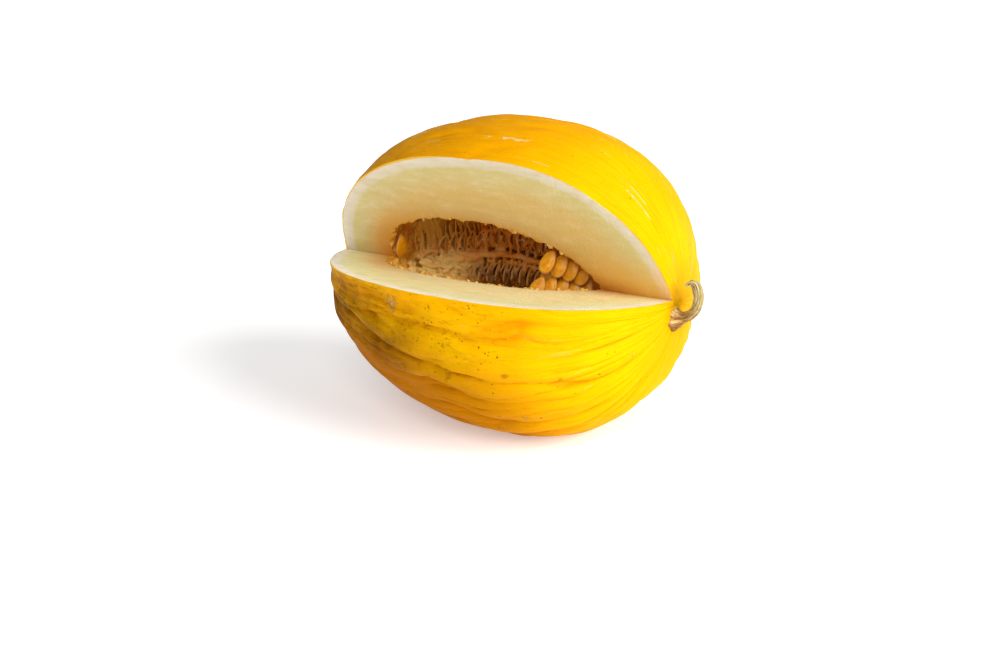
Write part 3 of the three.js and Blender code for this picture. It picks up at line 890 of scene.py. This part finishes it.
STEM_RADIUS, STEM_FLARE = 2.3, 5.3
STEM_ROOT = 2.6
HOOK = ((-2.4, 0, 0), (0.2, 0, 0), (2, 0, 0.3), (3.9, 0, 0.8), (6, 0, 1.9), (8.2, 0, 3.4), (10.1, 0, 5.6), (11.3, 0, 8.4))
HOOK += ((11.8, 0, 11.4), (11.5, -0.1, 14.8), (10.8, -0.7, 17.9), (10, -2.1, 20), (9.3, -4.2, 20.7), (8.9, -6.4, 20.3))
SIDES, RINGS = 96, 200


def hook_at(spot):
    """A point of the stalk's centre line, from 0 inside the fruit to 1 at its cut end."""
    spot = spot * (len(HOOK) - 1)
    i = min(int(spot), len(HOOK) - 2)
    t = spot - i
    before, start, end, after = (np.array(HOOK[min(max(i + k, 0), len(HOOK) - 1)]) for k in (-1, 0, 1, 2))
    return 0.5 * (2 * start + (end - before) * t + (2 * before - 5 * start + 4 * end - after) * t**2
                  + (3 * start - before - 3 * end + after) * t**3)


spots = np.linspace(0, 1, 400)
steps = np.linalg.norm(np.diff([hook_at(s) for s in spots], axis=0), axis=1)
mm_to = np.concatenate([[0], np.cumsum(steps)])
HOOK_LENGTH = mm_to[-1]


def hook_point(share):
    """The centre line of the stalk in mm, at this share of its length."""
    return np.array(STEM_FOOT) + hook_at(np.interp(share * HOOK_LENGTH, mm_to, spots))


bpy.ops.object.select_all(action="DESELECT")
bpy.ops.mesh.primitive_grid_add(x_subdivisions=SIDES, y_subdivisions=RINGS, size=1)
stalk = bpy.context.object
stalk.name = stalk.data.name = "melon_stem"
grid = read_points(stalk) + np.array([0.5, 0.5, 0])
points, lengthwise, girth, cut_end = [], [], [], []
for u, v, _ in grid:
    turn = 2 * math.pi * (u if u < 0.9999 else 0)
    share = min(v / 0.92, 1)
    inward = max(v - 0.92, 0) / 0.08
    centre = hook_point(share)
    ahead = hook_point(min(share + 0.01, 1)) - hook_point(max(share - 0.01, 0))
    ahead /= np.linalg.norm(ahead)
    beside = np.array([0, 1, 0])
    above = np.cross(ahead, beside)
    mm_along = share * HOOK_LENGTH
    past_foot = max(mm_along - STEM_ROOT, 0)
    flare = math.exp(-((past_foot / 2.5) ** 1.4))
    twisted = turn + 0.055 * mm_along
    ribs = 0.085 * math.cos(6 * twisted) + 0.045 * math.cos(11 * twisted + 1.3) + 0.03 * math.cos(19 * twisted)
    knots = 0.1 * noise.noise(Vector((math.cos(turn), math.sin(turn), mm_along / 4)))
    lobes = 0.26 * math.cos(7 * turn + 1.1 * math.sin(2 * turn)) + 0.12 * math.cos(12 * turn) + 0.3 * math.exp(-3 * (1 + math.cos(turn)))
    size = STEM_RADIUS * (1 + ribs + knots + 0.12 * (mm_along / HOOK_LENGTH - 0.5))
    size += flare * (STEM_FLARE - STEM_RADIUS) * (1 + lobes)
    size *= 1 + 0.28 * math.exp(-(((share - 1) / 0.07) ** 2))
    if v < 0.02:
        size *= v / 0.02
    sunk = 0.0
    if inward > 0:
        size *= 1 - 0.24 * min(inward / 0.15, 1) - 0.76 * max(inward - 0.7, 0) / 0.3
        sunk = 3 * min(max(inward - 0.12, 0) / 0.5, 1) + 0.25 * noise.noise(Vector((turn * 2, inward * 6, 0)))
    point = centre + size * (math.cos(turn) * above + math.sin(turn) * beside) - sunk * ahead
    points.append(point)
    lengthwise.append(mm_along)
    girth.append((math.cos(twisted), math.sin(twisted), mm_along))
    cut_end.append(min(inward * 5, 1))
write_points(stalk, np.array(points))
store(stalk, "lengthwise", lengthwise)
store(stalk, "girth", np.array(girth))
store(stalk, "cut_end", cut_end)
bpy.ops.object.mode_set(mode="EDIT")
bpy.ops.mesh.select_all(action="SELECT")
bpy.ops.mesh.remove_doubles(threshold=0.003)
bpy.ops.mesh.normals_make_consistent(inside=False)
bpy.ops.object.mode_set(mode="OBJECT")


def dried_stalk():
    """Dry fibrous stalk: grey-beige with olive and dark streaks, corky brown at the collar, no gloss."""
    made, tree, shader = new_material("dried_stalk")
    girth_place = add(tree, "Attribute", attribute_name="girth").outputs["Vector"]
    lengthwise = add(tree, "Attribute", attribute_name="lengthwise").outputs["Fac"]
    cut = add(tree, "Attribute", attribute_name="cut_end").outputs["Fac"]
    place = add(tree, "TexCoord").outputs["Object"]
    stretched = add(tree, "Mapping", {"Vector": girth_place, "Scale": (3.2, 3.2, 0.16)}).outputs[0]
    fibre = add(tree, "TexNoise", {"Vector": stretched, "Scale": 1, "Detail": 5, "Roughness": 0.65}).outputs["Fac"]
    stops = [(0.34, "#6B5A2C"), (0.45, "#A38C52"), (0.56, "#C8B37C"), (0.7, "#E6D8AE")]
    colour = add(tree, "ValToRGB", {"Fac": fibre}, stops).outputs[0]
    low = [(0.36, "#5A3A12"), (0.47, "#9A6F34"), (0.57, "#CDA564"), (0.72, "#EFD9A6")]
    corky = add(tree, "ValToRGB", {"Fac": fibre}, low).outputs[0]
    colour = mixed(tree, range_of(tree, lengthwise, 17, 7), colour, corky)
    stain = grain(tree, place, 3.4, 4, 0.65)
    colour = mixed(tree, range_of(tree, stain, 0.56, 0.68, 0, 0.6), colour, "#5A4A22")
    colour = mixed(tree, range_of(tree, cut, 0.2, 0.5), colour, "#2A1806")
    tree.links.new(colour, shader.inputs["Base Color"])
    height = add(tree, "Math", {0: fibre, 1: 0.0009}, operation="MULTIPLY").outputs[0]
    bump = add(tree, "Bump", {"Strength": 1, "Distance": 1, "Height": height}).outputs[0]
    tree.links.new(bump, shader.inputs["Normal"])
    shader.inputs["Roughness"].default_value = 0.66
    shader.inputs["Specular IOR Level"].default_value = 0.3
    return made


stalk.data.materials.append(dried_stalk())
write_points(stalk, read_points(stalk) * MM + np.array(CENTRE))
alone(stalk)
bpy.ops.object.shade_smooth()
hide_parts("stem")
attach(stalk, "root")

# ------------------------------------------------------- floor, light, camera
# A plain white floor under a broad soft lamp from the stem's side, with a
# weaker lamp in front, and the camera a little above and towards the stem.


def studio_white():
    """Matt white acrylic, faintly lit from behind, which keeps the shadows on it pale."""
    made, tree, shader = new_material("studio_white")
    shader.inputs["Emission Color"].default_value = (1, 1, 1, 1)
    shader.inputs["Emission Strength"].default_value = 0.34
    shader.inputs["Base Color"].default_value = linear("#F4F4F4")
    shader.inputs["Roughness"].default_value = 0.9
    return made


bpy.ops.object.select_all(action="DESELECT")
bpy.ops.mesh.primitive_plane_add(size=8, location=(0, 0, -0.0002))
floor = bpy.context.object
floor.name = "floor"
floor.data.materials.append(studio_white())

CAMERA_TURN, CAMERA_RISE = math.radians(30.6), math.radians(20)
CAMERA_REACH = 0.9673
back = Vector((
    math.sin(CAMERA_TURN) * math.cos(CAMERA_RISE),
    -math.cos(CAMERA_TURN) * math.cos(CAMERA_RISE),
    math.sin(CAMERA_RISE),
))
right = Vector((math.cos(CAMERA_TURN), math.sin(CAMERA_TURN), 0))
target = CENTRE - right * 0.01783 - back.cross(right) * 0.02843
bpy.ops.object.camera_add(location=target + back * CAMERA_REACH)
camera = bpy.context.object
camera.rotation_mode = "QUATERNION"
camera.rotation_quaternion = back.to_track_quat("Z", "Y")
camera.data.lens = 70
camera.data.sensor_width = 36
camera.data.clip_start = 0.05
bpy.context.scene.camera = camera


toward_camera = Vector((back.x, back.y, 0)).normalized()


def soft_lamp(name, come_from, strength, spread):
    bpy.ops.object.light_add(type="SUN", location=CENTRE + come_from)
    lamp = bpy.context.object
    lamp.name = name
    lamp.data.energy = strength
    lamp.data.angle = math.radians(spread)
    lamp.rotation_mode = "QUATERNION"
    lamp.rotation_quaternion = come_from.to_track_quat("Z", "Y")


soft_lamp("key", right * 0.74 + toward_camera * 0.48 + Vector((0, 0, 0.5)), 3.4, 40)
soft_lamp("front", toward_camera * 0.8 - right * 0.1 + Vector((0, 0, 0.62)), 1.05, 30)

world = bpy.data.worlds.new("studio")
bpy.context.scene.world = world
world.use_nodes = True
world.node_tree.nodes["Background"].inputs[0].default_value = (1, 1, 1, 1)
world.node_tree.nodes["Background"].inputs[1].default_value = 0.34
bpy.context.scene.view_settings.view_transform = "Standard"
